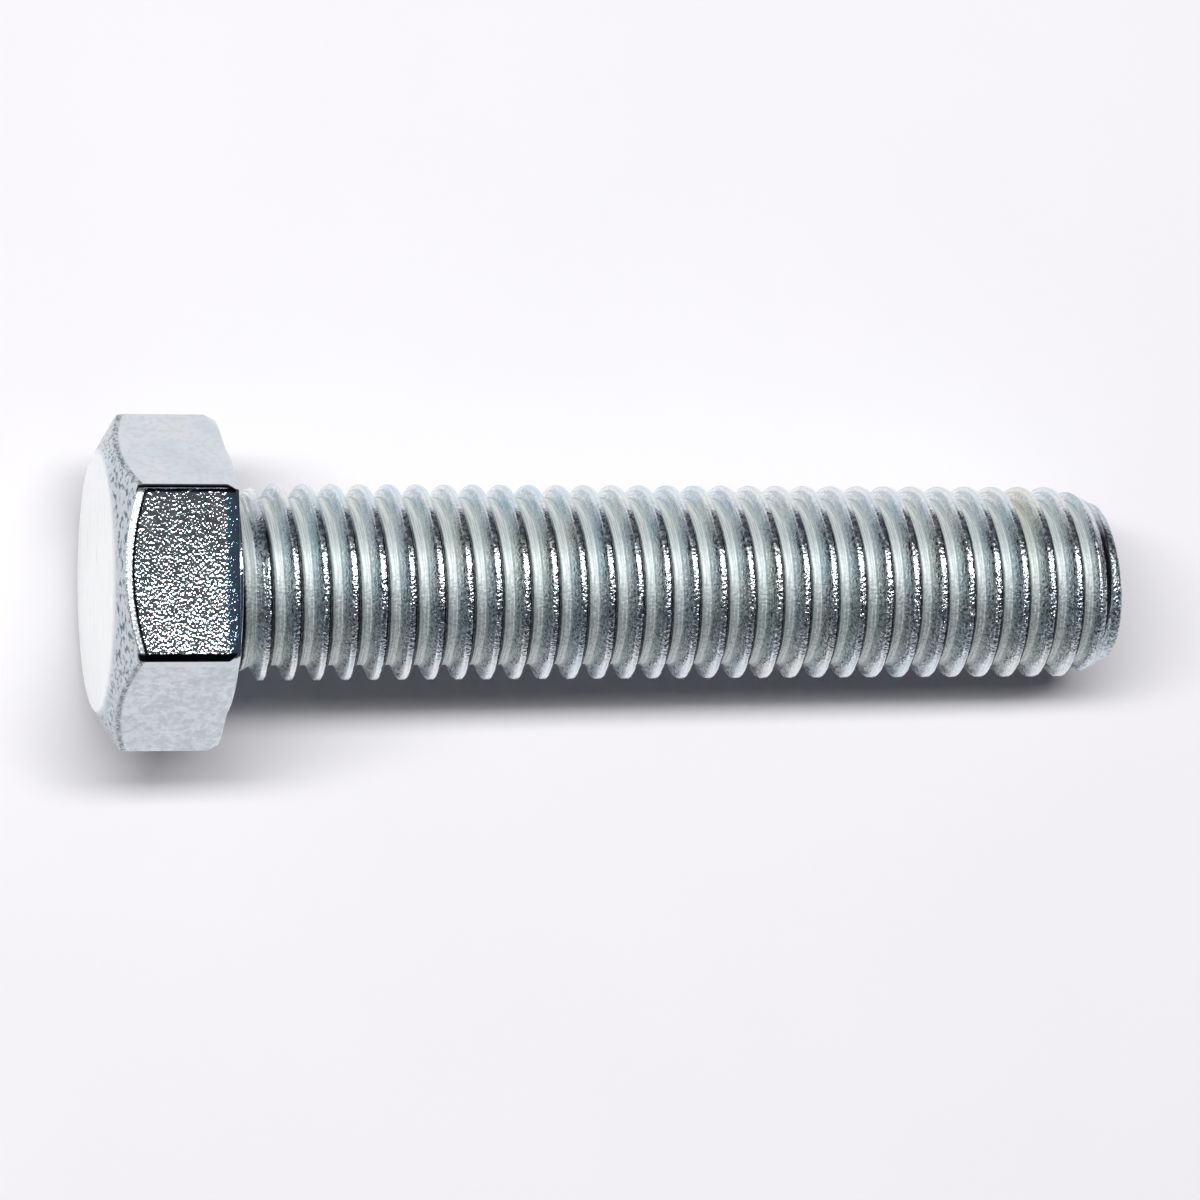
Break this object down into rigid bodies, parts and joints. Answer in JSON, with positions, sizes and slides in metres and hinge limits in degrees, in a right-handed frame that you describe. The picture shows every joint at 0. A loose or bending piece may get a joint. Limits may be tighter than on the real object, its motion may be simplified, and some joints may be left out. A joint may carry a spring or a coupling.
{
  "type": "hex bolt",
  "caption": "Fully threaded M12 x 1.75 hexagon head bolt, 55 mm long, zinc-plated steel, with a washer face and a chamfered point.",
  "frame": {"origin": "centre of the bearing face, the flat ring under the head that presses on the clamped part", "axes": "+X along the bolt from the bearing face to the tip; +Z and -Z out of two opposite wrench flats; +Y and -Y out of two opposite corners of the hexagon"},
  "size_m": [0.0637, 0.0204, 0.0176],
  "materials": {
    "zinc_plated_head": "bright electroplated zinc with a blue passivate over forged steel, satin, with fine sparkle on the flats",
    "zinc_plated_thread": "bright electroplated zinc with a blue-green passivate over rolled threads, shinier in the grooves"
  },
  "bodies": {
    "root": {"hex_head": "zinc_plated_head", "washer_face": "zinc_plated_head", "neck": "zinc_plated_thread", "threaded_shank": "zinc_plated_thread"}
  },
  "joints": []
}
